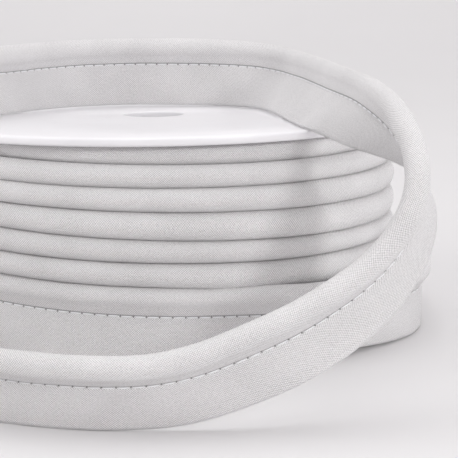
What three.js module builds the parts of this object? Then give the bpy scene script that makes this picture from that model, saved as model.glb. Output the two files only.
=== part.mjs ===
// A roll of piping trim: a cotton tape with a cord sewn into its upper edge, wound on a plain
// two-disc reel that lies flat. The outer length has come off the roll. It stands on edge round
// the reel, climbs at the right and lies across the top disc, where it ends in a square cut.
// Millimetres, +Z up, the reel's axis at X = 0, Y = 0 until the last lines centre the whole.
import * as THREE from 'three';

// The reel
const REEL_HEIGHT = 51.5;
const DISC_RADIUS = 59;
const DISC_THICKNESS = 2;
const HOLE_RADIUS = 7.4;
const TUBE_WALL = 2;
const DISC_FACETS = 72;
const TUBE_FACETS = 36;

// The top disc is sprung out of level: its rim stands higher at the front and at the right
const FRONT_RISE = 1.5;
const RIGHT_RISE = 0.6;

// Room left between pieces that touch
const GAP = 0.3;

// The piping: a cord in a folded strip, sewn so that both layers hang below it as one flange
const CORD_RADIUS = 2.8;
const CORD_TO_EDGE = 14.6;
const FLANGE_THICKNESS = 1.2;
const CORD_SIDES = 9;
const STEP_LENGTH = 5;

// The wound piping, one row for each turn that shows, from the top disc down:
// how far the turn's lower edge lies below the disc's top, how far its cord swells out,
// and how much lower that edge runs at the right of the reel than at the front
const WOUND_TURNS = [
  { below: 4.8, swell: 55.5, drop: 0.7 },
  { below: 9.6, swell: 60.6, drop: 0.6 },
  { below: 14.8, swell: 60.9, drop: 1.3 },
  { below: 21.0, swell: 61.0, drop: 2.2 },
  { below: 26.1, swell: 61.0, drop: 1.7 },
  { below: 31.5, swell: 61.0, drop: 1.8 },
  { below: 38.3, swell: 61.2, drop: 1.4 },
];
const GROOVE_DEPTH = 1.6;
const WOUND_FLANGE_RADIUS = 60.2;
const SWELL_PLACES = [0, 0.18, 0.5, 0.82];
const WOUND_FACETS = 64;

// The loose piping's route, from its cut end on the top disc back to the roll: the flange's
// free edge, and the place across from it towards which the flange rises to the cord
const LOOSE_ROUTE = [
  // lying across the top disc, on edge
  { cord: [-46, -24, 66.5], edge: [-45, -22, 52.1] },
  { cord: [-43, -13, 66.3], edge: [-42.5, -12, 51.7] },
  { cord: [-37.5, -3.5, 66.1], edge: [-37.5, -3, 51.5] },
  { cord: [-25, 15.5, 65.8], edge: [-25, 15, 51.2] },
  { cord: [-10, 22.5, 65.8], edge: [-10, 22, 51.2] },
  { cord: [3, 22.5, 65.9], edge: [3, 21.5, 51.3] },
  { cord: [16.5, 18.5, 65.9], edge: [15.5, 19.5, 51.5] },
  { cord: [25.5, 10, 66], edge: [24.3, 12, 51.8] },
  { cord: [31.3, -5, 66.3], edge: [29.3, -2, 52.2] },
  { cord: [35.4, -26, 66.5], edge: [32.4, -22, 52.7] },
  { cord: [39.5, -45, 66.3], edge: [36, -40.5, 53.4] },
  // over the rim and down at the right, where the flange turns away to the back
  { cord: [44, -56.5, 64.5], edge: [39.7, -50, 53.2] },
  { cord: [48.8, -65.5, 61.7], edge: [43.9, -57, 51.2] },
  { cord: [53.2, -73, 58], edge: [49, -61, 50] },
  { cord: [56, -79, 53], edge: [54.5, -64.5, 48.5] },
  { cord: [56.6, -82.5, 48], edge: [58.5, -68, 45.8] },
  { cord: [55.3, -85, 42.5], edge: [61.2, -72, 39.8] },
  { cord: [51.7, -87.3, 36.6], edge: [60, -76.5, 31] },
  { cord: [46, -89.8, 31.2], edge: [55, -81.5, 23] },
  { cord: [39, -92.3, 26.5], edge: [47, -86.5, 15.8] },
  { cord: [31.5, -95, 22.7], edge: [37.5, -91, 10] },
  { cord: [23, -98.3, 19.4], edge: [26.5, -94.5, 5.8] },
  { cord: [13.8, -101.3, 16.4], edge: [15.5, -97, 2.5] },
  // standing on the floor in front of the reel
  { cord: [4.5, -102.7, 14.6], edge: [5, -98, 0.7] },
  { cord: [-6, -102.5, 14.1], edge: [-6.7, -97.8, 0.3] },
  { cord: [-16.5, -100.2, 14.1], edge: [-17.7, -95.3, 0.3] },
  { cord: [-27, -96, 14.1], edge: [-28.5, -91.3, 0.3] },
  // round the left and the back
  { cord: [-47, -85, 14.1], edge: [-46, -80.5, 0.3] },
  { cord: [-66, -67.5, 14.1], edge: [-64, -64, 0.3] },
  { cord: [-80.5, -44, 14.1], edge: [-77, -42, 0.3] },
  { cord: [-87, -16, 14.1], edge: [-83, -15, 0.3] },
  { cord: [-84.5, 13, 14.1], edge: [-80.5, 12, 0.3] },
  { cord: [-74, 40, 14.1], edge: [-70.5, 38, 0.3] },
  { cord: [-55, 60, 14.1], edge: [-53, 57, 0.3] },
  { cord: [-30, 72.5, 14.1], edge: [-29, 69, 0.3] },
  { cord: [-4, 75.5, 14.1], edge: [-4, 72, 0.3] },
  { cord: [22, 70.5, 14.1], edge: [21, 67.5, 0.3] },
  { cord: [44, 57, 14.1], edge: [42.5, 54.5, 0.3] },
  { cord: [59.5, 36.5, 14.1], edge: [57.5, 35, 0.3] },
  { cord: [66.2, 14, 14.2], edge: [64.2, 13.5, 0.3] },
  { cord: [66.6, -7, 14.3], edge: [64.7, -6.5, 0.3] },
  // leaving the roll at the front right
  { cord: [63.8, -22.5, 14.6], edge: [61.8, -21, 0.4] },
  { cord: [57, -33, 14.9], edge: [55, -31.5, 0.6] },
  { cord: [51, -39.7, 15.2], edge: [49.2, -38, 0.7] },
  { cord: [45.5, -45.5, 15.4], edge: [43.8, -43.8, 0.9] },
];

const plastic = new THREE.MeshStandardMaterial({ color: 0xe9e7ea, roughness: 0.42, metalness: 0 });
const cotton = new THREE.MeshStandardMaterial({ color: 0xefeff1, roughness: 0.95, metalness: 0 });

// How far the sprung top disc stands above its level place, at a point on plan
function discRise(x, y) {
  return (RIGHT_RISE * x - FRONT_RISE * y) / DISC_RADIUS;
}

// A flat ring turned about Z, standing on z = 0
function turnedRing(inner, outer, height, facets) {
  const profile = [
    new THREE.Vector2(inner, 0),
    new THREE.Vector2(outer, 0),
    new THREE.Vector2(outer, height),
    new THREE.Vector2(inner, height),
    new THREE.Vector2(inner, 0),
  ];
  return new THREE.LatheGeometry(profile, facets).rotateX(Math.PI / 2);
}

// Joins a row of like outlines into one closed skin. It runs back to the first outline,
// or else both ends are closed by a ladder of rungs between the outline's two mirrored sides.
function skin(outlines, runsBack) {
  const count = outlines[0].length;
  const triangles = [];
  const bands = runsBack ? outlines.length : outlines.length - 1;
  for (let band = 0; band < bands; band += 1) {
    const here = band * count;
    const next = ((band + 1) % outlines.length) * count;
    for (let side = 0; side < count; side += 1) {
      const after = (side + 1) % count;
      triangles.push(here + side, next + side, next + after);
      triangles.push(here + side, next + after, here + after);
    }
  }
  if (!runsBack) {
    const last = (outlines.length - 1) * count;
    for (let rung = 0; rung < count / 2 - 1; rung += 1) {
      const near = [rung, rung + 1, count - 2 - rung, count - 1 - rung];
      const far = near.map((point) => point + last);
      triangles.push(near[0], near[1], near[2], near[0], near[2], near[3]);
      triangles.push(far[0], far[2], far[1], far[0], far[3], far[2]);
    }
  }
  const geometry = new THREE.BufferGeometry();
  const places = outlines.flat().flatMap((point) => point.toArray());
  geometry.setAttribute('position', new THREE.Float32BufferAttribute(places, 3));
  geometry.setIndex(triangles);
  geometry.computeVertexNormals();
  return geometry;
}

// The height of a wound turn's lower edge at an angle round the reel
function turnEdge(turn, angle) {
  return REEL_HEIGHT - turn.below - turn.drop * Math.cos(angle);
}

// The wound piping's outline at one angle: a flange at the foot, then each turn's cord as a
// swelling between two grooves, up to the face that lies just under the top disc
function woundOutline(angle) {
  const across = new THREE.Vector3(Math.cos(angle), Math.sin(angle), 0);
  const outline = [];
  const add = (radius, height) => outline.push(across.clone().multiplyScalar(radius).setZ(height));
  const face = (radius) => REEL_HEIGHT - DISC_THICKNESS - GAP + discRise(across.x * radius, across.y * radius);
  const bore = HOLE_RADIUS + TUBE_WALL + GAP;
  const foot = DISC_THICKNESS + GAP;
  add(bore, foot);
  add(WOUND_FLANGE_RADIUS, foot);
  for (let index = WOUND_TURNS.length - 1; index >= 0; index -= 1) {
    const turn = WOUND_TURNS[index];
    const low = turnEdge(turn, angle);
    const high = index > 0 ? turnEdge(WOUND_TURNS[index - 1], angle) : face(turn.swell);
    for (const place of SWELL_PLACES) {
      add(turn.swell - GROOVE_DEPTH * (1 - Math.sin(Math.PI * place)), low + (high - low) * place);
    }
  }
  const top = WOUND_TURNS[0].swell - GROOVE_DEPTH;
  add(top, face(top));
  add(bore, face(bore));
  return outline;
}

function woundPiping() {
  const outlines = [];
  for (let facet = 0; facet < WOUND_FACETS; facet += 1) {
    outlines.push(woundOutline((facet / WOUND_FACETS) * 2 * Math.PI));
  }
  return skin(outlines, true);
}

// The loose piping's outline at one place: up one face of the flange, round the cord and down
// the other face. "across" points from the cord to the free edge, "out" through the flange.
function pipingOutline(towards, edge, along) {
  const ruling = edge.clone().sub(towards).normalize();
  const cord = edge.clone().addScaledVector(ruling, -CORD_TO_EDGE);
  const out = ruling.clone().cross(along).normalize();
  const across = along.clone().cross(out).normalize();
  const half = out.clone().multiplyScalar(FLANGE_THICKNESS / 2);
  const seam = Math.asin(FLANGE_THICKNESS / 2 / CORD_RADIUS);
  const outline = [edge.clone().add(half)];
  for (let side = 0; side <= CORD_SIDES; side += 1) {
    const turn = seam + ((2 * Math.PI - 2 * seam) * side) / CORD_SIDES;
    outline.push(cord.clone()
      .addScaledVector(across, CORD_RADIUS * Math.cos(turn))
      .addScaledVector(out, CORD_RADIUS * Math.sin(turn)));
  }
  outline.push(edge.clone().sub(half));
  return outline;
}

function loosePiping() {
  const through = (name) => new THREE.CatmullRomCurve3(
    LOOSE_ROUTE.map((row) => new THREE.Vector3(...row[name])), false, 'centripetal');
  const cordLine = through('cord');
  const edgeLine = through('edge');
  const spans = LOOSE_ROUTE.length - 1;
  const outlines = [];
  for (let span = 0; span < spans; span += 1) {
    const length = cordLine.points[span].distanceTo(cordLine.points[span + 1]);
    const steps = Math.max(1, Math.round(length / STEP_LENGTH));
    const stops = span === spans - 1 ? steps + 1 : steps;
    for (let stop = 0; stop < stops; stop += 1) {
      const place = (span + stop / steps) / spans;
      outlines.push(pipingOutline(cordLine.getPoint(place), edgeLine.getPoint(place), cordLine.getTangent(place)));
    }
  }
  return skin(outlines, false);
}

function piece(name, geometry, material) {
  const mesh = new THREE.Mesh(geometry, material);
  mesh.name = name;
  return mesh;
}

const roll = new THREE.Group();

const bottomDisc = piece('reel_bottom_disc', turnedRing(HOLE_RADIUS, DISC_RADIUS, DISC_THICKNESS, DISC_FACETS), plastic);
roll.add(bottomDisc);

const tubeHeight = REEL_HEIGHT - 2 * DISC_THICKNESS - 2 * GAP - discRise(0, -HOLE_RADIUS - TUBE_WALL);
const centreTube = piece(
  'reel_centre_tube', turnedRing(HOLE_RADIUS, HOLE_RADIUS + TUBE_WALL, tubeHeight, TUBE_FACETS), plastic);
centreTube.position.z = DISC_THICKNESS + GAP;
roll.add(centreTube);

const topDisc = piece('reel_top_disc', turnedRing(HOLE_RADIUS, DISC_RADIUS, DISC_THICKNESS, DISC_FACETS), plastic);
topDisc.position.z = REEL_HEIGHT - DISC_THICKNESS;
topDisc.rotation.set(-Math.asin(FRONT_RISE / DISC_RADIUS), -Math.asin(RIGHT_RISE / DISC_RADIUS), 0);
roll.add(topDisc);

roll.add(piece('wound_piping', woundPiping(), cotton));
roll.add(piece('loose_piping', loosePiping(), cotton));

// The origin is the middle of the whole on plan, at the height of the reel's underside
const box = new THREE.Box3().setFromObject(roll);
const centre = box.getCenter(new THREE.Vector3());
roll.position.set(-centre.x, -centre.y, -box.min.z);

export default roll;
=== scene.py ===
import math

import bmesh
import bpy
import numpy as np
from mathutils import Matrix, Vector, noise


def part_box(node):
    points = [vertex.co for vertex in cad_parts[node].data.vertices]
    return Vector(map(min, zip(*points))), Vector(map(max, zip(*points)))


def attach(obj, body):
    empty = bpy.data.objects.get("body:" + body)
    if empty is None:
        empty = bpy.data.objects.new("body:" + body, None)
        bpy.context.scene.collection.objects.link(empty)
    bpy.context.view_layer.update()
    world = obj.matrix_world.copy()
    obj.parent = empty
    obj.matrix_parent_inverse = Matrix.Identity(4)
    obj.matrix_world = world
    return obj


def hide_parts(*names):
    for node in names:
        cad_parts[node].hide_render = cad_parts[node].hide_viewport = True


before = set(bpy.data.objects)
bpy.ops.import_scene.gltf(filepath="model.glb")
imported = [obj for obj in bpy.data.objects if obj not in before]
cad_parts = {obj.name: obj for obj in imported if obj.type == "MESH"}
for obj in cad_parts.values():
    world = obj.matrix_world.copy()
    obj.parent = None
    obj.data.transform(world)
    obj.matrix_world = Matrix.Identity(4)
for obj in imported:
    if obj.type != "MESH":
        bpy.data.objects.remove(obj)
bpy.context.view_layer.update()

MM = 0.001

# The reel lies flat on its lower disc. Its spindle line is the middle of that disc, and every
# place below is measured in millimetres from where this line meets the table.
low_corner, high_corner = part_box("reel_bottom_disc")
SPINDLE = np.array([(low_corner.x + high_corner.x) / 2, (low_corner.y + high_corner.y) / 2, 0.0])


def on_table(place):
    """A place in millimetres from the spindle line, as a place of the frame in metres."""
    return Vector(np.asarray(place, float) * MM + SPINDLE)


# ---------------------------------------------------------------------------------------------
# The camera looks a little down on the roll from the front, through a long lens.
CAMERA_PLACE = (18.85, -400.0, 98.0)
CAMERA_PITCH = 79.23
LENS = 125.76

camera_data = bpy.data.cameras.new("camera")
camera_data.lens = LENS
camera_data.sensor_width = 36.0
camera_data.clip_start = 0.01
camera_data.clip_end = 20.0
camera = bpy.data.objects.new("camera", camera_data)
camera.location = on_table(CAMERA_PLACE)
camera.rotation_euler = (math.radians(CAMERA_PITCH), 0.0, 0.0)
bpy.context.scene.collection.objects.link(camera)
bpy.context.scene.camera = camera

# ---------------------------------------------------------------------------------------------
# The outer length of the piping: a strip of white cotton cut on the bias, folded round a cord
# and sewn close under it, so that both layers hang below as one flange. Its outermost turn lies
# round the roll, and the rest has come off and lies over the reel, where it ends in a square cut.
CORD_RADIUS = 2.6
CORD_TO_EDGE = 14.85
CORD_TO_STITCH = 4.25
STATION_STEP = 1.425
STITCH_LENGTH = 2.85
CLOTH_THICKNESS = 0.36

# The folded strip's outer face, from its free edge to the far side of the cord: the distance
# from the cord's middle towards the free edge, and the distance out from the fold's middle
FOLD_PROFILE = [
    (14.85, 0.39), (14.10, 0.44), (12.80, 0.47), (11.20, 0.46), (9.60, 0.45), (8.10, 0.44),
    (6.90, 0.44), (6.00, 0.44), (5.30, 0.43), (4.82, 0.41), (4.50, 0.34), (4.25, 0.17),
    (4.02, 0.27), (3.72, 0.60), (3.30, 0.93), (2.80, 1.24),
]
# The face goes on round the cord, at these angles from the way to the free edge
CORD_ANGLES = [36, 47, 59, 72, 86, 101, 117, 134, 152, 171]
# The place in that profile where the needle goes through, and how far from it the crease lies
SEAM_ROW = 11
CREASE_FROM_SEAM = 0.34

# The loose length's route, from its cut end back to the roll: a place towards which the flange
# rises to the cord, and the flange's free edge
LOOSE_ROUTE = [
    # lying across the top disc, on edge
    {"cord": (-46, -24, 66.5), "edge": (-45, -22, 52.1)},
    {"cord": (-43, -13, 66.3), "edge": (-42.5, -12, 51.7)},
    {"cord": (-37.3, -5.5, 65.8), "edge": (-37.5, -3, 51.5)},
    {"cord": (-25, 13.8, 65.6), "edge": (-25, 15, 51.2)},
    {"cord": (-10, 22.5, 65.8), "edge": (-10, 22, 51.2)},
    {"cord": (3.2, 22.4, 65.9), "edge": (3, 21.5, 51.3)},
    {"cord": (17.4, 22, 64.6), "edge": (15.5, 19.5, 51.3)},
    {"cord": (29.6, 15.2, 63.6), "edge": (24.3, 12, 51.8)},
    {"cord": (38, 1, 63.8), "edge": (29.3, -2, 52.2)},
    {"cord": (42.2, -20.4, 63.9), "edge": (32.4, -22, 52.7)},
    {"cord": (45.3, -36, 63.7), "edge": (34.8, -37.5, 53)},
    # over the rim and down at the right, where the flange turns away to the back
    {"cord": (47.7, -47.5, 62.9), "edge": (37, -47, 53.2)},
    {"cord": (49.8, -55.5, 62.2), "edge": (40.6, -51.3, 52.1)},
    {"cord": (51.7, -63.5, 60.5), "edge": (43.9, -57, 51.2)},
    {"cord": (54.1, -71.3, 57.9), "edge": (49, -61, 50)},
    {"cord": (56.5, -78.2, 52.7), "edge": (54.5, -64.5, 48.5)},
    {"cord": (57, -82.4, 48), "edge": (59.5, -68, 46.2)},
    {"cord": (55.8, -85.1, 42.4), "edge": (62.1, -72.3, 39.8)},
    {"cord": (51.9, -87.4, 36.4), "edge": (60.4, -76.6, 31)},
    {"cord": (46.6, -90, 30.8), "edge": (55, -81.5, 23)},
    {"cord": (39.5, -92.6, 26.1), "edge": (47, -86.5, 15.8)},
    {"cord": (31.5, -95.7, 22.7), "edge": (37.5, -91, 10)},
    {"cord": (23, -98.7, 19.2), "edge": (26.5, -94.5, 5.8)},
    {"cord": (13.8, -101.7, 16.2), "edge": (15.5, -97, 2.5)},
    # standing on the table in front of the reel
    {"cord": (4.5, -103.3, 14.3), "edge": (5, -98, 0.7)},
    {"cord": (-6, -103.1, 13.8), "edge": (-6.7, -97.8, 0.3)},
    {"cord": (-16.5, -100.8, 13.8), "edge": (-17.7, -95.3, 0.3)},
    {"cord": (-27, -96.6, 13.8), "edge": (-28.5, -91.3, 0.3)},
    # round the left and the back
    {"cord": (-47, -85, 14.1), "edge": (-46, -80.5, 0.3)},
    {"cord": (-66, -67.5, 14.1), "edge": (-64, -64, 0.3)},
    {"cord": (-80.5, -44, 14.1), "edge": (-77, -42, 0.3)},
    {"cord": (-87, -16, 14.1), "edge": (-83, -15, 0.3)},
    {"cord": (-84.5, 13, 14.1), "edge": (-80.5, 12, 0.3)},
    {"cord": (-74, 40, 14.1), "edge": (-70.5, 38, 0.3)},
    {"cord": (-55, 60, 14.1), "edge": (-53, 57, 0.3)},
    {"cord": (-30, 72.5, 14.1), "edge": (-29, 69, 0.3)},
    {"cord": (-4, 75.5, 14.1), "edge": (-4, 72, 0.3)},
    {"cord": (22, 70.5, 14.1), "edge": (21, 67.5, 0.3)},
    {"cord": (44, 57, 14.1), "edge": (42.5, 54.5, 0.3)},
    {"cord": (59.5, 36.5, 14.1), "edge": (58, 35.4, 0.3)},
    {"cord": (66.2, 14, 14.2), "edge": (66, 13.9, 0.3)},
    {"cord": (66.8, -7, 14.3), "edge": (66.9, -6.8, 0.3)},
    # leaving the roll at the front right
    {"cord": (64, -22.5, 14.6), "edge": (63.5, -21.8, 0.4)},
    {"cord": (57, -33, 15), "edge": (55.8, -32, 0.7)},
    {"cord": (51, -39.7, 15.7), "edge": (49.2, -38, 1.2)},
    {"cord": (45.5, -45.5, 16.4), "edge": (43.8, -43.8, 1.9)},
]

# The winding: the height of the line between one turn and the next at the front of the reel,
# from the top disc down to the last turn's seam, and how steeply the turn eases down there.
# The gap is between the last turn's cord and the row above it.
TURN_LINES = [
    {"height": 50.6, "ease": -0.2}, {"height": 46.7, "ease": -0.2}, {"height": 41.9, "ease": -0.2},
    {"height": 36.7, "ease": 0.45}, {"height": 30.5, "ease": 1.3}, {"height": 25.4, "ease": 0.8},
    {"height": 20.0, "ease": 1.0}, {"height": 13.2, "ease": 0.3},
]
TURN_GAP = 0.12

# The last turn, which belongs to the strip: where it starts and where it leaves, in turns from
# the first one's front, and how far out its cord and free edge lie, wound and where they leave.
# It leaves over a share of a turn, and its cord lifts a little. The flange hangs by its drop.
LAST_TURN = 5.194
LEAVES_AT = 6.125
WOUND_CORD_RADIUS = 57.6
WOUND_EDGE_RADIUS = 59.8
LEAVING_CORD_RADIUS = 64.35
LEAVING_EDGE_RADIUS = 61.94
LEAVING_EASE = 0.085
LEAVING_LIFT = 0.3
FLANGE_DROP = 14.5


def eased(value):
    """0 to 1, level at both ends."""
    value = min(1.0, max(0.0, value))
    return value * value * (3.0 - 2.0 * value)


def on_curve(t, start, leave, end, arrive):
    """A place on the smooth curve that leaves its start and arrives at its end as given."""
    return ((2 * t**3 - 3 * t**2 + 1) * start + (t**3 - 2 * t**2 + t) * leave
            + (3 * t**2 - 2 * t**3) * end + (t**3 - t**2) * arrive)


def turn_line(turn):
    """The height of the line below a wound turn, counted in turns from the first one's front."""
    place = min(max(turn + 1.0, 0.0), len(TURN_LINES) - 1.0001)
    row, part = int(place), place - int(place)
    rows = [min(max(row + k, 0), len(TURN_LINES) - 1) for k in (-1, 0, 1, 2)]
    before, start, end, after = (TURN_LINES[near]["height"] for near in rows)
    smooth = on_curve(part, start, (end - before) / 2, end, (after - start) / 2)
    ease = (1 - part) * TURN_LINES[row]["ease"] + part * TURN_LINES[row + 1]["ease"]
    return smooth - ease * math.sin(2 * math.pi * turn)


def turn_angle(turn):
    """The angle round the reel of a place in the winding. A whole number is the front."""
    return math.radians(-90.0 + 360.0 * turn)


def last_turn_row(turn):
    """The cord's and the free edge's places in the last turn, which is drawn out at its end."""
    angle = turn_angle(turn)
    leaving = 1.0 - eased((LEAVES_AT - turn) / LEAVING_EASE)
    cord_radius = WOUND_CORD_RADIUS + (LEAVING_CORD_RADIUS - WOUND_CORD_RADIUS) * leaving
    edge_radius = WOUND_EDGE_RADIUS + (LEAVING_EDGE_RADIUS - WOUND_EDGE_RADIUS) * leaving
    height = turn_line(turn - 1) - CORD_RADIUS - TURN_GAP + LEAVING_LIFT * leaving
    x, y = math.cos(angle), math.sin(angle)
    return {
        "cord": (cord_radius * x, cord_radius * y, height),
        "edge": (edge_radius * x, edge_radius * y, height - FLANGE_DROP),
    }


def line_through(places, steps):
    """A smooth line through places, with the same number of steps in every span."""
    places = np.array(places, float)
    padded = np.vstack([2 * places[0] - places[1], places, 2 * places[-1] - places[-2]])
    line = []
    for before, start, end, after in zip(padded, padded[1:], padded[2:], padded[3:]):
        spans = ((before, start), (start, end), (end, after))
        gaps = [math.sqrt(np.linalg.norm(b - a)) for a, b in spans]
        leave = ((start - before) / gaps[0] - (end - before) / (gaps[0] + gaps[1])
                 + (end - start) / gaps[1]) * gaps[1]
        arrive = ((end - start) / gaps[1] - (after - start) / (gaps[1] + gaps[2])
                  + (after - end) / gaps[2]) * gaps[1]
        line += [on_curve(step / steps, start, leave, end, arrive) for step in range(steps)]
    line.append(places[-1])
    return np.array(line)


def unit(vectors):
    return vectors / np.linalg.norm(vectors, axis=-1, keepdims=True)


# The whole route, with the last turn's rows, is made fine, cut into even stations and smoothed
LAST_TURN_ROWS = 34
STEPS_A_ROW = 24
SMOOTHINGS = 10

last_turn = np.linspace(LEAVES_AT, LAST_TURN, LAST_TURN_ROWS + 1)[1:]
route = LOOSE_ROUTE + [last_turn_row(turn) for turn in last_turn]
fine_cord = line_through([row["cord"] for row in route], STEPS_A_ROW)
fine_edge = line_through([row["edge"] for row in route], STEPS_A_ROW)
fine_cord = fine_edge + unit(fine_cord - fine_edge) * CORD_TO_EDGE
run = np.concatenate([[0.0], np.cumsum(np.linalg.norm(np.diff(fine_cord, axis=0), axis=1))])
STATIONS = int(run[-1] / STATION_STEP)
STRIP_LENGTH = STATIONS * STATION_STEP
stops = np.arange(STATIONS + 1) * STATION_STEP
cord_line = np.stack([np.interp(stops, run, fine_cord[:, k]) for k in range(3)], axis=1)
edge_line = np.stack([np.interp(stops, run, fine_edge[:, k]) for k in range(3)], axis=1)
for _ in range(SMOOTHINGS):
    cord_line[1:-1] = (cord_line[:-2] + 2 * cord_line[1:-1] + cord_line[2:]) / 4
    edge_line[1:-1] = (edge_line[:-2] + 2 * edge_line[1:-1] + edge_line[2:]) / 4
ruling = unit(edge_line - cord_line)
cord_line = edge_line - ruling * CORD_TO_EDGE
along = unit(np.gradient(cord_line, axis=0))
outward = unit(np.cross(ruling, along))
across = unit(np.cross(along, outward))

# The section is square to the cord beside it, and turns to the flange's ruling below
RULED_FROM = 2.0
RULED_OVER = 4.0


def folded_point(station, towards_edge, out):
    """A place in the folded strip's section at a station. The flange keeps to its ruling."""
    share = eased((towards_edge - RULED_FROM) / RULED_OVER)
    lean = across[station] * (1.0 - share) + ruling[station] * share
    return cord_line[station] + lean * towards_edge + outward[station] * out


half_profile = FOLD_PROFILE + [
    (CORD_RADIUS * math.cos(math.radians(angle)), CORD_RADIUS * math.sin(math.radians(angle)))
    for angle in CORD_ANGLES
]
profile = half_profile + [(reach, -out) for reach, out in reversed(half_profile)]
profile_steps = [math.dist(a, b) for a, b in zip(profile, profile[1:])]
profile_run = np.concatenate([[0.0], np.cumsum(profile_steps)])
STRIP_WIDTH = profile_run[-1]
SEAM_RUN = profile_run[SEAM_ROW]


def linked(name, bm, material):
    """A finished piece of one material, in its place on the root body."""
    mesh = bpy.data.meshes.new(name)
    bm.normal_update()
    bm.to_mesh(mesh)
    bm.free()
    mesh.materials.append(material)
    piece = bpy.data.objects.new(name, mesh)
    bpy.context.scene.collection.objects.link(piece)
    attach(piece, "root")
    return piece


def ripple(x, y, seed):
    return noise.noise(Vector((x, y, seed)))


# Between two needle holes the cloth bulges, the most beside the seam. The flange waves as a
# whole, and its two layers open. The cord swells along its length and has small lumps.
SEAM_REACH = 0.6
SEAM_BULGE = 0.12
CORD_BULGE = 0.06
FLANGE_WAVE = {"height": 0.30, "length": 23.0}
LAYERS_APART = 0.10
LAYERS_OPEN = {"height": 0.16, "length": 9.0}
CORD_SWELL = {"share": 0.018, "length": 7.0}
CORD_LUMPS = {"share": 0.010, "length": 2.2}

# The strip starts as the flat rectangle that it was cut to, and every point of it is carried to
# its place in the fold. Its UV map keeps the flat cloth's own measure, in metres.
bm = bmesh.new()
strip_uv = bm.loops.layers.uv.new("cloth")
bmesh.ops.create_grid(bm, x_segments=STATIONS, y_segments=len(profile) - 1, size=0.5)
flat_places = {}
for vertex in bm.verts:
    station = round((vertex.co.x + 0.5) * STATIONS)
    row = round((vertex.co.y + 0.5) * (len(profile) - 1))
    flat_places[vertex] = (station * STATION_STEP * MM, profile_run[row] * MM)
    reach, out = profile[row]
    side = 1.0 if out > 0 else -1.0
    at = station * STATION_STEP
    hang = eased((reach - CORD_TO_STITCH) / (CORD_TO_EDGE - CORD_TO_STITCH))
    between_holes = 1.0 if station % 2 else 0.0
    if abs(reach - CORD_TO_STITCH) < SEAM_REACH:
        out += side * SEAM_BULGE * between_holes
    elif 0 < reach < CORD_TO_STITCH:
        out += side * CORD_BULGE * between_holes
    out += FLANGE_WAVE["height"] * ripple(at / FLANGE_WAVE["length"], 0.0, 3.1) * hang
    opened = LAYERS_OPEN["height"] * ripple(at / LAYERS_OPEN["length"], side, 7.7)
    out += side * (LAYERS_APART + opened) * hang * hang
    if reach < CORD_TO_STITCH:
        swell = (1.0 + CORD_SWELL["share"] * ripple(at / CORD_SWELL["length"], 0.5, 1.9)
                 + CORD_LUMPS["share"] * ripple(at / CORD_LUMPS["length"], reach, 5.3))
        reach, out = reach * swell, out * swell
    vertex.co = on_table(folded_point(station, reach, out))
for face in bm.faces:
    face.smooth = True
    for loop in face.loops:
        loop[strip_uv].uv = flat_places[loop.vert]
bmesh.ops.recalc_face_normals(bm, faces=bm.faces)

# the face nearest to the cord's crown at a station has to look up, or else all are turned over
PROBED_STATION = 400
crown_way = -across[PROBED_STATION]
crown = on_table(cord_line[PROBED_STATION] + (CORD_RADIUS + 0.2) * crown_way)
probe = min(bm.faces, key=lambda face: (face.calc_center_median() - crown).length)
if probe.normal.dot(Vector(crown_way)) < 0:
    bmesh.ops.reverse_faces(bm, faces=bm.faces)


def new_group(name, inputs, outputs):
    """An empty shader group. Inputs are (name, kind, value), and outputs are (name, kind)."""
    group = bpy.data.node_groups.new(name, "ShaderNodeTree")
    for title, kind, value in inputs:
        socket = group.interface.new_socket(title, in_out="INPUT", socket_type="NodeSocket" + kind)
        if value is not None:
            socket.default_value = value
    for title, kind in outputs:
        group.interface.new_socket(title, in_out="OUTPUT", socket_type="NodeSocket" + kind)
    return group


def node(tree, kind, settings=None, **links):
    """A node with its settings. Its inputs, by name or as i0, i1 and on, are linked or set."""
    made = tree.nodes.new("ShaderNode" + kind)
    for key, value in (settings or {}).items():
        setattr(made, key, value)
    for key, value in links.items():
        numbered = key[0] == "i" and key[1:].isdigit()
        socket = made.inputs[int(key[1:]) if numbered else key]
        if isinstance(value, bpy.types.NodeSocket):
            tree.links.new(value, socket)
        else:
            socket.default_value = value
    return made


def maths(tree, operation, first, second=0.0, third=0.0):
    return node(tree, "Math", {"operation": operation}, i0=first, i1=second, i2=third).outputs[0]


# Plain weave: threads run both ways at 45 degrees to the strip, each over one and under one.
THREAD_WIDTH = 0.36
THREAD_DRIFT = 0.22
THREAD_FULLNESS = 0.8

weave = new_group(
    "plain_weave",
    [("Cloth", "Vector", None), ("Thread", "Float", THREAD_WIDTH * MM),
     ("Unevenness", "Float", 0.5)],
    [("Height", "Float")])
source = weave.nodes.new("NodeGroupInput")
result = weave.nodes.new("NodeGroupOutput")
turned = node(weave, "Mapping", Vector=source.outputs["Cloth"],
              Rotation=(0.0, 0.0, math.radians(45.0)))
drift = node(weave, "TexNoise", Vector=turned.outputs[0], Scale=900.0, Detail=2.0)
drifted = node(weave, "VectorMath", {"operation": "MULTIPLY_ADD"}, i0=drift.outputs["Color"],
               i1=(THREAD_DRIFT * MM, THREAD_DRIFT * MM, 0.0), i2=turned.outputs[0])
axes = node(weave, "SeparateXYZ", Vector=drifted.outputs[0])
warp_at = maths(weave, "DIVIDE", axes.outputs[0], source.outputs["Thread"])
weft_at = maths(weave, "DIVIDE", axes.outputs[1], source.outputs["Thread"])
warp_wave = maths(weave, "COSINE", maths(weave, "MULTIPLY", warp_at, math.pi))
weft_wave = maths(weave, "COSINE", maths(weave, "MULTIPLY", weft_at, math.pi))
over = maths(weave, "MULTIPLY_ADD", maths(weave, "MULTIPLY", warp_wave, weft_wave), 0.5, 0.5)
under = maths(weave, "SUBTRACT", 1.0, over)
warp_full = maths(weave, "POWER", maths(weave, "ABSOLUTE", warp_wave), THREAD_FULLNESS)
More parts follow.
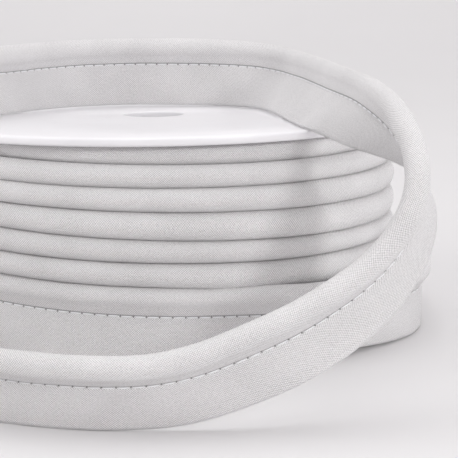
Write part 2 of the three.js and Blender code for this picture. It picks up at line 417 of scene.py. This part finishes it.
weft_full = maths(weave, "POWER", maths(weave, "ABSOLUTE", weft_wave), THREAD_FULLNESS)
thread_top = maths(weave, "MAXIMUM", maths(weave, "MULTIPLY", warp_full, over),
                   maths(weave, "MULTIPLY", weft_full, under))
slub = node(weave, "TexNoise", Vector=source.outputs["Cloth"], Scale=2100.0, Detail=3.0)
uneven = maths(weave, "MULTIPLY", maths(weave, "SUBTRACT", slub.outputs["Fac"], 0.5),
               source.outputs["Unevenness"])
weave.links.new(maths(weave, "ADD", thread_top, uneven), result.inputs["Height"])

# The cotton's colour on its threads, with painted shade between them, a painted highlight along
# the cut edges, painted shade in the crease under the cord and in the needle holes, and how patchy
# it is. A reach is half of a width.
PALE_COTTON = (0.96, 0.946, 0.95, 1.0)
GAP_SHADE_COTTON = (0.44, 0.43, 0.435, 1.0)
EDGE_HIGHLIGHT_COTTON = (0.97, 0.96, 0.965, 1.0)
CREASE_SHADE = (0.36, 0.355, 0.36, 1.0)
HOLE_SHADE = (0.18, 0.18, 0.18, 1.0)
EDGE_HIGHLIGHT_WIDTH = 0.55
CREASE_REACH = 0.22
HOLE_REACH_ALONG = 0.23
HOLE_REACH_ACROSS = 0.31
PATCHINESS = 0.35
WEAVE_RELIEF = 0.18


def away_squared(tree, value, middle, reach):
    """The square of a value's distance from a middle, counted in reaches."""
    away = maths(tree, "DIVIDE", maths(tree, "SUBTRACT", value, middle), reach)
    return maths(tree, "MULTIPLY", away, away)


def painted(tree, ground, mask, colour):
    """The ground, with a colour over it where the mask is 1."""
    return node(tree, "Mix", {"data_type": "RGBA", "clamp_factor": True},
                i0=mask, i6=ground, i7=colour).outputs[2]


def cotton_cloth(name, seams=()):
    """White woven cotton. A seam is the places of its needle holes and its crease in the width."""
    material = bpy.data.materials.new(name)
    material.use_nodes = True
    tree = material.node_tree
    shader = tree.nodes["Principled BSDF"]
    cloth = node(tree, "UVMap", {"uv_map": "cloth"})
    woven = tree.nodes.new("ShaderNodeGroup")
    woven.node_tree = weave
    tree.links.new(cloth.outputs[0], woven.inputs["Cloth"])
    patches = node(tree, "TexNoise", Vector=cloth.outputs[0], Scale=70.0, Detail=4.0)
    patchy = maths(tree, "SUBTRACT", patches.outputs["Fac"], 0.5)
    # the weave's height darkens the colour between the threads as painted shade, and the patches
    # are the cloth's own uneven tone
    patches_and_gap_shade = maths(tree, "MULTIPLY_ADD", patchy, PATCHINESS, woven.outputs["Height"])
    ramp = node(tree, "ValToRGB", i0=patches_and_gap_shade)
    ramp.color_ramp.elements[0].position = 0.06
    ramp.color_ramp.elements[0].color = GAP_SHADE_COTTON
    ramp.color_ramp.elements[1].position = 0.78
    ramp.color_ramp.elements[1].color = PALE_COTTON
    colour = ramp.outputs["Color"]
    if seams:
        split = node(tree, "SeparateXYZ", Vector=cloth.outputs[0])
        length, width = split.outputs[0], split.outputs[1]
        from_edge = maths(tree, "PINGPONG", width, STRIP_WIDTH * MM / 2)
        edge_highlight = maths(tree, "MULTIPLY_ADD", from_edge, -1 / (EDGE_HIGHLIGHT_WIDTH * MM), 1.0)
        from_hole = maths(tree, "PINGPONG", length, STITCH_LENGTH * MM / 2)
        lengthwise = away_squared(tree, from_hole, 0.0, HOLE_REACH_ALONG * MM)
        painted_hole_shade, painted_crease_shade = 0.0, 0.0
        for needle, fold in seams:
            sideways = away_squared(tree, width, needle * MM, HOLE_REACH_ACROSS * MM)
            hole = maths(tree, "SUBTRACT", 1.0, maths(tree, "ADD", lengthwise, sideways))
            painted_hole_shade = maths(tree, "MAXIMUM", painted_hole_shade, hole)
            beside_fold = away_squared(tree, width, fold * MM, CREASE_REACH * MM)
            crease = maths(tree, "SUBTRACT", 1.0, beside_fold)
            painted_crease_shade = maths(tree, "MAXIMUM", painted_crease_shade, crease)
        # painted highlight along the strip's cut edges
        colour = painted(tree, colour, edge_highlight, EDGE_HIGHLIGHT_COTTON)
        # painted shade in the crease under the cord
        colour = painted(tree, colour, painted_crease_shade, CREASE_SHADE)
        # painted shade in the needle holes
        colour = painted(tree, colour, painted_hole_shade, HOLE_SHADE)
    tree.links.new(colour, shader.inputs["Base Color"])
    bump = node(tree, "Bump", Strength=1.0, Distance=WEAVE_RELIEF * MM,
                Height=woven.outputs["Height"])
    tree.links.new(bump.outputs[0], shader.inputs["Normal"])
    shader.inputs["Roughness"].default_value = 0.92
    shader.inputs["Specular IOR Level"].default_value = 0.25
    shader.inputs["Sheen Weight"].default_value = 0.25
    shader.inputs["Sheen Roughness"].default_value = 0.5
    return material


outer_cotton = cotton_cloth("outer_cotton", [
    (SEAM_RUN, SEAM_RUN + CREASE_FROM_SEAM),
    (STRIP_WIDTH - SEAM_RUN, STRIP_WIDTH - SEAM_RUN - CREASE_FROM_SEAM),
])
outer_piping = linked("outer_piping", bm, outer_cotton)
wall = outer_piping.modifiers.new("cloth", "SOLIDIFY")
wall.thickness = CLOTH_THICKNESS * MM
wall.offset = -1.0
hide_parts("loose_piping")

# ---------------------------------------------------------------------------------------------
# The seam: one row of lockstitches close under the cord, in white cotton thread. Each stitch
# lies in the groove on both faces and dips into the cloth at its two needle holes.
THREAD_RADIUS = 0.17
STITCH_HALF = 1.22
STITCH_LIFT = 0.40

# one stitch, a ball of radius 1, is shaped once, and is drawn out and laid at every place
bm = bmesh.new()
bmesh.ops.create_uvsphere(bm, u_segments=6, v_segments=6, radius=1.0,
                          matrix=Matrix.Rotation(math.radians(90.0), 4, "Y"))
one_stitch = bpy.data.meshes.new("one_stitch")
bm.to_mesh(one_stitch)
bm.clear()
for stitch in range(int(STRIP_LENGTH / STITCH_LENGTH)):
    middle = 2 * stitch + 1
    for side in (1.0, -1.0):
        laid = Matrix((
            Vector(along[middle] * STITCH_HALF * MM),
            Vector(across[middle] * THREAD_RADIUS * MM),
            Vector(outward[middle] * THREAD_RADIUS * MM))).transposed().to_4x4()
        laid.translation = on_table(folded_point(middle, CORD_TO_STITCH, side * STITCH_LIFT))
        placed = one_stitch.copy()
        placed.transform(laid)
        bm.from_mesh(placed)
        bpy.data.meshes.remove(placed)
bpy.data.meshes.remove(one_stitch)
for face in bm.faces:
    face.smooth = True
bmesh.ops.recalc_face_normals(bm, faces=bm.faces)


def mottled(name, scale, detail, dark, light, roughness, relief=None):
    """A material with an uneven colour. Relief is the strength and the height of its bumps."""
    material = bpy.data.materials.new(name)
    material.use_nodes = True
    tree = material.node_tree
    shader = tree.nodes["Principled BSDF"]
    place = node(tree, "TexCoord").outputs["Object"]
    change = node(tree, "TexNoise", Vector=place, Scale=scale, Detail=detail).outputs["Fac"]
    ramp = node(tree, "ValToRGB", i0=change)
    ramp.color_ramp.elements[0].color = dark
    ramp.color_ramp.elements[1].color = light
    tree.links.new(ramp.outputs["Color"], shader.inputs["Base Color"])
    shader.inputs["Roughness"].default_value = roughness
    if relief:
        bump = node(tree, "Bump", Strength=relief[0], Distance=relief[1], Height=change)
        tree.links.new(bump.outputs[0], shader.inputs["Normal"])
    return material


thread = mottled("sewing_thread", 5000.0, 2.0, (0.82, 0.82, 0.84, 1.0), (0.98, 0.98, 0.99, 1.0),
                 roughness=0.6, relief=(0.4, 0.00005))
thread.node_tree.nodes["Principled BSDF"].inputs["Sheen Weight"].default_value = 0.2
seam_stitches = linked("seam_stitches", bm, thread)

# ---------------------------------------------------------------------------------------------
# The cord inside the fold: three soft strands laid together, cut flush with the strip at the
# loose end. Only its end shows.
STRANDS = 3
STRAND_RADIUS = 1.12
STRAND_FROM_MIDDLE = 1.18
STRAND_TWIST = 2.2
STRAND_STEPS = 8
STRAND_SIDES = 10
CORE_LENGTH = 9.0
CORE_INSET = 0.35

bm = bmesh.new()
for strand in range(STRANDS):
    rings = []
    for step in range(STRAND_STEPS + 1):
        share = step / STRAND_STEPS
        station = (CORE_INSET + CORE_LENGTH * share) / STATION_STEP
        low_station, part = int(station), station - int(station)
        middle = cord_line[low_station] * (1 - part) + cord_line[low_station + 1] * part
        turn = 2 * math.pi * strand / STRANDS + STRAND_TWIST * share
        lean = across[low_station] * math.cos(turn) + outward[low_station] * math.sin(turn)
        side = np.cross(along[low_station], lean)
        ring = []
        for corner in range(STRAND_SIDES):
            corner_turn = 2 * math.pi * corner / STRAND_SIDES
            ring.append(bm.verts.new(on_table(
                middle + lean * (STRAND_FROM_MIDDLE + STRAND_RADIUS * math.cos(corner_turn))
                + side * STRAND_RADIUS * math.sin(corner_turn))))
        rings.append([bm.edges.new((a, b)) for a, b in zip(ring, ring[1:] + ring[:1])])
    for first, second in zip(rings, rings[1:]):
        bmesh.ops.bridge_loops(bm, edges=first + second)
bmesh.ops.holes_fill(bm, edges=[edge for edge in bm.edges if edge.is_boundary], sides=0)
bmesh.ops.recalc_face_normals(bm, faces=bm.faces)

core_cotton = mottled("cord_cotton", 2600.0, 4.0, (0.52, 0.52, 0.53, 1.0), (0.90, 0.90, 0.91, 1.0),
                      roughness=0.95, relief=(0.7, 0.0002))
cord_end = linked("cord_end", bm, core_cotton)

# ---------------------------------------------------------------------------------------------
# The wound turns: the same piping lies on the reel in close turns, each cord on the flange of
# the turn above, so that only the cords show. Behind them is the drum of the turns wound before.
TURN_STEPS = 150
TURN_SIDES = 20
# how much cloth there is along a turn and round a cord, for the weave's scale
TURN_LENGTH = 57.4 * 2 * math.pi
CORD_GIRTH = 17.6
# 1 is a round cord, and less is a squarer one, and no cord is pressed flatter than this height
ROUNDNESS = 0.88
LEAST_HEIGHT = 2.6

# The first turn starts at the left, and up to its second round the disc keeps it down. A crest
# is the number of a turn and how far out its cord stands there, in gentle waves.
FIRST_TURN = -0.36
UNDER_DISC_UNTIL = 2.0
UNDER_DISC = 49.35
DRUM_RADIUS = 57.0
CRESTS = [
    (-0.40, 50.6), (-0.15, 55.2), (0.0, 56.7), (0.5, 58.2), (1.0, 59.5), (2.0, 60.2), (7.0, 60.2),
]
CREST_WAVE = 0.10
WAVES_A_TURN = 9.0

# The cords are pressed into one another, and the first turn is pressed the most
PRESSED = 0.03
FIRST_PRESSED = 0.45
FIRST_PRESSED_UNTIL = 1.3

# Near its end the row takes the height of the strip's last turn. It sags where that one leaves
# the reel below it, and it goes on inside the strip for a little way, thinner.
JOINS_OVER = 0.3
LEAVING_SAG = 1.2
SAG_FROM, SAG_GROWS_OVER = 5.0, 0.1
SAG_UNTIL, SAG_FADES_OVER = 5.13, 0.06
INSIDE_STRIP = 0.012
INSIDE_THINNER = 0.17
THINS_OVER = 0.003

# How far the sprung top disc stands up at its right and front edges
DISC_RISE_RIGHT = 0.6
DISC_RISE_FRONT = 1.5
DISC_RADIUS = 59.0


def disc_rise(x, y):
    """How far the sprung top disc stands above its level place."""
    return (DISC_RISE_RIGHT * x - DISC_RISE_FRONT * y) / DISC_RADIUS


bm = bmesh.new()
turns_uv = bm.loops.layers.uv.new("cloth")
end_angle = math.atan2(cord_line[-1][1], cord_line[-1][0])
strip_end = int(LAST_TURN) + 0.25 + end_angle / (2 * math.pi)
wound_end = strip_end + INSIDE_STRIP
wound_steps = int((wound_end - FIRST_TURN) * TURN_STEPS)
bmesh.ops.create_grid(bm, x_segments=wound_steps, y_segments=TURN_SIDES, size=0.5)
flat_places = {}
for vertex in bm.verts:
    step = round((vertex.co.x + 0.5) * wound_steps)
    corner = round((vertex.co.y + 0.5) * TURN_SIDES)
    turn = FIRST_TURN + (wound_end - FIRST_TURN) * step / wound_steps
    angle = turn_angle(turn)
    crest = np.interp(turn, *zip(*CRESTS)) + CREST_WAVE * ripple(turn * WAVES_A_TURN, 0.0, 12.5)
    top = turn_line(turn - 1.0)
    if turn < UNDER_DISC_UNTIL:
        under_rim = (DRUM_RADIUS * math.cos(angle), DRUM_RADIUS * math.sin(angle))
        top = min(top, UNDER_DISC + disc_rise(*under_rim))
    bottom = min(turn_line(turn), top - LEAST_HEIGHT)
    joins = eased((turn - LAST_TURN + JOINS_OVER) / JOINS_OVER)
    last_bottom = top - 2 * CORD_RADIUS - TURN_GAP
    top, bottom = top - TURN_GAP * joins, bottom * (1 - joins) + last_bottom * joins
    bottom -= (LEAVING_SAG * eased((turn - SAG_FROM) / SAG_GROWS_OVER)
               * (1.0 - eased((turn - SAG_UNTIL) / SAG_FADES_OVER)))
    around = math.pi + 2 * math.pi * corner / TURN_SIDES
    round_x = math.copysign(abs(math.cos(around)) ** ROUNDNESS, math.cos(around))
    round_z = math.copysign(abs(math.sin(around)) ** ROUNDNESS, math.sin(around))
    tucked = 1.0 - INSIDE_THINNER * eased((turn - strip_end) / THINS_OVER)
    radius = crest - CORD_RADIUS + CORD_RADIUS * round_x * tucked
    pressed = PRESSED + FIRST_PRESSED * eased(FIRST_PRESSED_UNTIL - turn)
    height = (top + bottom) / 2 + ((top - bottom) / 2 + pressed) * round_z * tucked
    vertex.co = on_table((radius * math.cos(angle), radius * math.sin(angle), height))
    flat_places[vertex] = (
        TURN_LENGTH * (turn - FIRST_TURN) * MM, CORD_GIRTH * corner / TURN_SIDES * MM)
for face in bm.faces:
    face.smooth = True
    for loop in face.loops:
        loop[turns_uv].uv = flat_places[loop.vert]
bmesh.ops.remove_doubles(bm, verts=bm.verts, dist=0.00001)
bmesh.ops.holes_fill(bm, edges=[edge for edge in bm.edges if edge.is_boundary], sides=0)
bmesh.ops.recalc_face_normals(bm, faces=bm.faces)

# the drum of inner turns, turned about the spindle line, which rises with the disc at its top
DRUM_SIDES = 96
DRUM_RISES_FROM, DRUM_RISES_OVER = 38.0, 9.0
DRUM_PROFILE = [
    (9.8, 2.4), (58.2, 2.4), (58.5, 2.7), (58.4, 4.0), (57.5, 9.0), (56.7, 12.4),
    (55.9, 13.4), (56.1, 16.4), (55.2, 19.2), (56.1, 22.0), (55.2, 24.8), (56.1, 27.6),
    (55.2, 30.4), (56.1, 33.2), (55.2, 36.0), (56.1, 38.8), (54.6, 41.2), (53.2, 42.8),
    (51.6, 45.2), (50.8, 48.2), (50.0, 49.0), (9.8, 49.0),
]
# Where the last turn has left the reel, the flange below the cords is bared, from one share of
# a turn past the front to another, and it stands further out the lower it hangs.
BARED_FROM, BARED_GROWS_OVER = 0.08, 0.035
BARED_UNTIL, BARED_FADES_OVER = 0.21, 0.04
BARED_LOW, BARED_HIGH = 8.0, 17.5
BARED_RADIUS = 57.9
BARED_SLOPE = 2.2 / 10.2

drum_verts = [bm.verts.new(on_table((radius, 0.0, height))) for radius, height in DRUM_PROFILE]
drum_edges = [bm.edges.new((a, b)) for a, b in zip(drum_verts, drum_verts[1:] + drum_verts[:1])]
bmesh.ops.spin(bm, geom=drum_verts + drum_edges, cent=on_table((0, 0, 0)), axis=(0, 0, 1),
               angle=2 * math.pi, steps=DRUM_SIDES, use_merge=True)
# its faces are the squares that aren't smooth yet
drum_faces = [face for face in bm.faces if not face.smooth and len(face.verts) == 4]
for vertex in {vertex for face in drum_faces for vertex in face.verts}:
    x, y = vertex.co.x / MM - SPINDLE[0] / MM, vertex.co.y / MM - SPINDLE[1] / MM
    share = min(1.0, max(0.0, (vertex.co.z / MM - DRUM_RISES_FROM) / DRUM_RISES_OVER))
    vertex.co.z += disc_rise(x, y) * share * MM
    beyond_front = math.atan2(y, x) / (2 * math.pi) + 0.25
    bared = (eased((beyond_front - BARED_FROM) / BARED_GROWS_OVER)
             * (1.0 - eased((beyond_front - BARED_UNTIL) / BARED_FADES_OVER)))
    height = vertex.co.z / MM
    if BARED_LOW < height < BARED_HIGH and bared > 0.0:
        flange_radius = BARED_RADIUS + BARED_SLOPE * (BARED_HIGH - height)
        grown = 1.0 + bared * max(0.0, flange_radius / math.hypot(x, y) - 1.0)
        vertex.co.x, vertex.co.y = on_table((x * grown, y * grown, 0.0)).xy
bmesh.ops.recalc_face_normals(bm, faces=drum_faces)
for face in drum_faces:
    face.smooth = True
    for loop in face.loops:
        x, y = loop.vert.co.x - SPINDLE[0], loop.vert.co.y - SPINDLE[1]
        loop[turns_uv].uv = (math.atan2(y, x) * DRUM_RADIUS * MM, loop.vert.co.z)

wound_turns = linked("wound_turns", bm, cotton_cloth("wound_cotton"))
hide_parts("wound_piping")

# ---------------------------------------------------------------------------------------------
# The reel: two moulded discs of white plastic on a short tube, with rounded rims and a faint
# ring where the moulding gets thinner. The upper disc is sprung a little out of level.
HOLE_RADIUS = 7.4
DISC_THICKNESS = 2.0
REEL_HEIGHT = 51.5
TUBE_WALL = 2.0
RING_RADIUS = 33.0
RING_WIDTH = 0.5
RING_STEP = 0.22
RIM_ROUNDING = 0.6
HOLE_ROUNDING = 0.35
INNER_ROUNDING = 0.2
TUBE_ROUNDING = 0.3
RING_SIDES = 144
SAME_PLACE = 0.01

# The plastic's roughness changes a little from place to place, and is higher where it's scuffed
ROUGHNESS_LOW = 0.26
ROUGHNESS_SPAN = 0.14
SCUFF_ROUGHNESS = 0.10
SCUFFED_ABOVE = 0.63

marks = new_group(
    "moulded_surface", [("Place", "Vector", None)],
    [("Roughness", "Float"), ("Height", "Float"), ("Tone", "Float")])
source = marks.nodes.new("NodeGroupInput")
result = marks.nodes.new("NodeGroupOutput")
grain = node(marks, "TexNoise", Vector=source.outputs[0], Scale=900.0, Detail=3.0)
clouds = node(marks, "TexNoise", Vector=source.outputs[0], Scale=45.0, Detail=5.0)
scuffs = node(marks, "TexNoise", Vector=source.outputs[0], Scale=260.0, Detail=6.0, Distortion=1.6)
scuffed = maths(marks, "GREATER_THAN", scuffs.outputs["Fac"], SCUFFED_ABOVE)
rubbed = maths(marks, "MULTIPLY", scuffed, SCUFF_ROUGHNESS)
cloudy = maths(marks, "MULTIPLY_ADD", clouds.outputs["Fac"], ROUGHNESS_SPAN, ROUGHNESS_LOW)
marks.links.new(maths(marks, "ADD", cloudy, rubbed), result.inputs["Roughness"])
marks.links.new(grain.outputs["Fac"], result.inputs["Height"])
marks.links.new(clouds.outputs["Fac"], result.inputs["Tone"])

white_plastic = bpy.data.materials.new("white_plastic")
white_plastic.use_nodes = True
plastic_tree = white_plastic.node_tree
plastic_shader = plastic_tree.nodes["Principled BSDF"]
plastic_place = node(plastic_tree, "TexCoord")
plastic_marks = plastic_tree.nodes.new("ShaderNodeGroup")
plastic_marks.node_tree = marks
plastic_tree.links.new(plastic_place.outputs["Object"], plastic_marks.inputs["Place"])
plastic_ramp = node(plastic_tree, "ValToRGB", i0=plastic_marks.outputs["Tone"])
plastic_ramp.color_ramp.elements[0].position = 0.25
plastic_ramp.color_ramp.elements[0].color = (0.78, 0.77, 0.79, 1.0)
plastic_ramp.color_ramp.elements[1].position = 0.75
plastic_ramp.color_ramp.elements[1].color = (0.85, 0.84, 0.86, 1.0)
plastic_tree.links.new(plastic_ramp.outputs["Color"], plastic_shader.inputs["Base Color"])
plastic_tree.links.new(plastic_marks.outputs["Roughness"], plastic_shader.inputs["Roughness"])
plastic_bump = node(plastic_tree, "Bump", Strength=0.12, Distance=0.00005,
                    Height=plastic_marks.outputs["Height"])
plastic_tree.links.new(plastic_bump.outputs[0], plastic_shader.inputs["Normal"])


def turned_ring(section, rims):
    """A ring spun from its section. Its rims, given by radius and height, are rounded."""
    bm = bmesh.new()
    middle = on_table((0, 0, 0))
    corners = [bm.verts.new(on_table((radius, 0.0, height))) for radius, height in section]
    edges = [bm.edges.new((a, b)) for a, b in zip(corners, corners[1:] + corners[:1])]
    bmesh.ops.spin(bm, geom=corners + edges, cent=middle, axis=(0, 0, 1),
                   angle=2 * math.pi, steps=RING_SIDES, use_merge=True)
    bmesh.ops.remove_doubles(bm, verts=bm.verts, dist=0.000001)
    bmesh.ops.recalc_face_normals(bm, faces=bm.faces)

    def on_rim(vertex, radius, height):
        return (abs((vertex.co.xy - middle.xy).length / MM - radius) < SAME_PLACE
                and abs(vertex.co.z / MM - height) < SAME_PLACE)

    for radius, height, rounding in rims:
        rim = [edge for edge in bm.edges if all(on_rim(v, radius, height) for v in edge.verts)]
        bmesh.ops.bevel(bm, geom=rim, offset=rounding * MM, segments=3, profile=0.5,
                        affect="EDGES", material=-1)
    for face in bm.faces:
        face.smooth = True
    return bm


disc_low, disc_high = REEL_HEIGHT - DISC_THICKNESS, REEL_HEIGHT
disc_section = [
    (HOLE_RADIUS, disc_low), (DISC_RADIUS, disc_low), (DISC_RADIUS, disc_high),
    (RING_RADIUS + RING_WIDTH, disc_high), (RING_RADIUS, disc_high - RING_STEP),
    (HOLE_RADIUS, disc_high - RING_STEP),
]
disc_rims = [
    (DISC_RADIUS, disc_high, RIM_ROUNDING), (DISC_RADIUS, disc_low, RIM_ROUNDING),
    (HOLE_RADIUS, disc_high - RING_STEP, HOLE_ROUNDING), (HOLE_RADIUS, disc_low, INNER_ROUNDING),
]
bm = turned_ring(disc_section, disc_rims)
pivot = on_table((0.0, 0.0, disc_low))
tilt = (Matrix.Rotation(-math.asin(DISC_RISE_FRONT / DISC_RADIUS), 4, "X")
        @ Matrix.Rotation(-math.asin(DISC_RISE_RIGHT / DISC_RADIUS), 4, "Y"))
sprung = Matrix.Translation(pivot) @ tilt @ Matrix.Translation(-pivot)
bmesh.ops.transform(bm, matrix=sprung, verts=bm.verts)
upper_disc = linked("upper_disc", bm, white_plastic)
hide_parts("reel_top_disc")

# the lower disc is level, and flat where the upper one has its ring
disc_section = [
    (HOLE_RADIUS, 0.0), (RING_RADIUS, 0.0), (RING_RADIUS + RING_WIDTH, 0.0),
    (DISC_RADIUS, 0.0), (DISC_RADIUS, DISC_THICKNESS), (HOLE_RADIUS, DISC_THICKNESS),
]
disc_rims = [
    (DISC_RADIUS, 0.0, RIM_ROUNDING), (DISC_RADIUS, DISC_THICKNESS, RIM_ROUNDING),
    (HOLE_RADIUS, 0.0, HOLE_ROUNDING), (HOLE_RADIUS, DISC_THICKNESS, INNER_ROUNDING),
]
lower_disc = linked("lower_disc", turned_ring(disc_section, disc_rims), white_plastic)
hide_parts("reel_bottom_disc")

tube_low, tube_high = (corner.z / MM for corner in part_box("reel_centre_tube"))
tube_section = [
    (HOLE_RADIUS, tube_low), (HOLE_RADIUS + TUBE_WALL, tube_low),
    (HOLE_RADIUS + TUBE_WALL, tube_high), (HOLE_RADIUS, tube_high),
]
tube_rims = [(HOLE_RADIUS, tube_low, TUBE_ROUNDING), (HOLE_RADIUS, tube_high, TUBE_ROUNDING)]
centre_tube = linked("centre_tube", turned_ring(tube_section, tube_rims), white_plastic)
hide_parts("reel_centre_tube")

# ---------------------------------------------------------------------------------------------
# The stage: a pale seamless sheet that runs from the table up behind the roll, a small key
# light from the front right, and wide soft lights above, at the left, right and front.
SWEEP_SIDE = 7000.0
SWEEP_PROFILE = [
    (-SWEEP_SIDE, 0), (500, 0), (700, 12), (860, 60), (960, 160), (1010, 320), (1020, 1400),
]

bm = bmesh.new()
sweep_verts = [bm.verts.new(on_table((-SWEEP_SIDE, y, z))) for y, z in SWEEP_PROFILE]
sweep_edges = [bm.edges.new((a, b)) for a, b in zip(sweep_verts, sweep_verts[1:])]
drawn_out = bmesh.ops.extrude_edge_only(bm, edges=sweep_edges)["geom"]
far_verts = [part for part in drawn_out if isinstance(part, bmesh.types.BMVert)]
bmesh.ops.translate(bm, vec=(2 * SWEEP_SIDE * MM, 0.0, 0.0), verts=far_verts)
for face in bm.faces:
    face.smooth = True
bmesh.ops.recalc_face_normals(bm, faces=bm.faces)
mesh = bpy.data.meshes.new("sweep")
bm.to_mesh(mesh)
bm.free()
paper = mottled("backdrop_paper", 6.0, 2.0, (0.685, 0.675, 0.68, 1.0), (0.72, 0.71, 0.715, 1.0),
                roughness=0.7)
mesh.materials.append(paper)
sweep = bpy.data.objects.new("sweep", mesh)
bpy.context.scene.collection.objects.link(sweep)

ROLL_MIDDLE = (0.0, 0.0, 25.0)


def soft_light(name, place, size, power):
    """A square soft light that faces the middle of the roll."""
    data = bpy.data.lights.new(name, "AREA")
    data.shape = "SQUARE"
    data.size = size
    data.energy = power
    lamp = bpy.data.objects.new(name, data)
    lamp.location = on_table(place)
    facing = on_table(ROLL_MIDDLE) - lamp.location
    lamp.rotation_euler = facing.to_track_quat("-Z", "Y").to_euler()
    bpy.context.scene.collection.objects.link(lamp)


soft_light("key", (600.0, -745.0, 415.0), 0.16, 3.1)
soft_light("overhead", (0.0, 200.0, 1200.0), 1.4, 9.0)
soft_light("left_fill", (-900.0, -300.0, 500.0), 0.9, 4.6)
soft_light("right_fill", (1000.0, -250.0, 350.0), 0.9, 2.8)
soft_light("front_fill", (-350.0, -1300.0, 160.0), 1.0, 1.9)

world = bpy.data.worlds.new("studio")
world.use_nodes = True
world.node_tree.nodes["Background"].inputs["Color"].default_value = (1.0, 0.965, 0.985, 1.0)
world.node_tree.nodes["Background"].inputs["Strength"].default_value = 0.42
bpy.context.scene.world = world
bpy.context.scene.view_settings.view_transform = "Standard"
